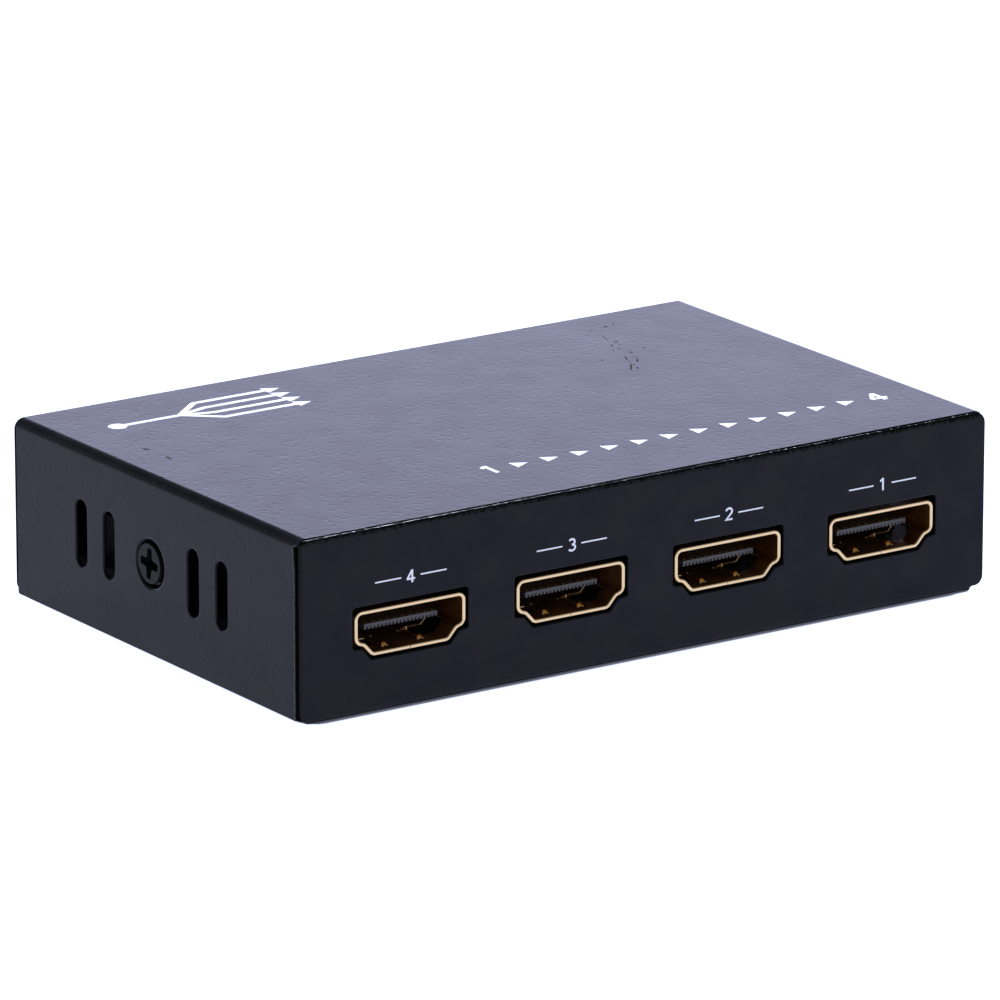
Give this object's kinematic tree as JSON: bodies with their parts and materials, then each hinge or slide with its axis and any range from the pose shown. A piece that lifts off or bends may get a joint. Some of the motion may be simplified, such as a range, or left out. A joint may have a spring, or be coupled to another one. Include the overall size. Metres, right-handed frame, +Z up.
{
  "type": "video splitter",
  "caption": "Flat folded-steel box with a row of video output sockets along its front, and an input socket, power jack and lamp behind, that copies a signal to several screens.",
  "frame": {"origin": "middle of the underside of the case", "axes": "+X along the row of outputs towards output 1, the outputs face -Y, +Z up"},
  "size_m": [0.095, 0.061, 0.022],
  "materials": {
    "powder_coated_steel": "fine black powder coat",
    "black_oxide_steel": "black oxide",
    "solder_mask_board": "green solder mask over glass epoxy",
    "nickel_plated_brass": "bright nickel plate",
    "zinc_plated_steel": "bright zinc plate",
    "gold_plated_shell": "pale gold flash over drawn steel",
    "connector_polymer": "moulded high-temperature polymer",
    "gold_plated_contacts": "selective gold plate",
    "black_nylon": "moulded glass-filled nylon",
    "tinned_metal": "matte tin plate",
    "clear_lamp_resin": "water-clear epoxy",
    "black_epoxy": "moulded epoxy",
    "drawn_steel_can": "drawn and seam-welded",
    "ferrite": "pressed ferrite",
    "aluminium_can": "drawn bare aluminium",
    "fired_ceramic": "fired barium titanate, tinned ends",
    "glazed_resistor": "glazed film on white alumina"
  },
  "bodies": {
    "case": {"bottom_chassis": "powder_coated_steel", "top_cover": "powder_coated_steel", "circuit_board": "solder_mask_board", "board_standoffs": "nickel_plated_brass", "board_screws": "zinc_plated_steel", "output_1_shell": "gold_plated_shell", "output_1_insulator": "connector_polymer", "output_1_contacts": "gold_plated_contacts", "output_2_shell": "gold_plated_shell", "output_2_insulator": "connector_polymer", "output_2_contacts": "gold_plated_contacts", "output_3_shell": "gold_plated_shell", "output_3_insulator": "connector_polymer", "output_3_contacts": "gold_plated_contacts", "output_4_shell": "gold_plated_shell", "output_4_insulator": "connector_polymer", "output_4_contacts": "gold_plated_contacts", "input_shell": "gold_plated_shell", "input_insulator": "connector_polymer", "input_contacts": "gold_plated_contacts", "power_jack_body": "black_nylon", "power_jack_pin": "nickel_plated_brass", "power_jack_spring": "tinned_metal", "power_lamp": "clear_lamp_resin", "power_lamp_leads": "tinned_metal", "splitter_chip": "black_epoxy", "splitter_chip_legs": "tinned_metal", "port_protection_chips": "black_epoxy", "memory_chip": "black_epoxy", "small_chip_legs": "tinned_metal", "clock_crystal": "drawn_steel_can", "power_regulator": "black_epoxy", "power_regulator_legs": "tinned_metal", "power_inductor": "ferrite", "power_diode": "black_epoxy", "bulk_capacitors": "aluminium_can", "bulk_capacitor_seats": "black_nylon", "ceramic_capacitors": "fired_ceramic", "chip_resistors": "glazed_resistor"},
    "left_screw": {"left_cover_screw": "black_oxide_steel"},
    "right_screw": {"right_cover_screw": "black_oxide_steel"}
  },
  "joints": [
    {"name": "left_screw_turn", "type": "hinge", "parent": "case", "child": "left_screw", "pos_m": [-0.0474, 0.001, 0.0116], "axis": [1, 0, 0], "continuous": true},
    {"name": "right_screw_turn", "type": "hinge", "parent": "case", "child": "right_screw", "pos_m": [0.0474, 0.001, 0.0116], "axis": [1, 0, 0], "continuous": true}
  ]
}
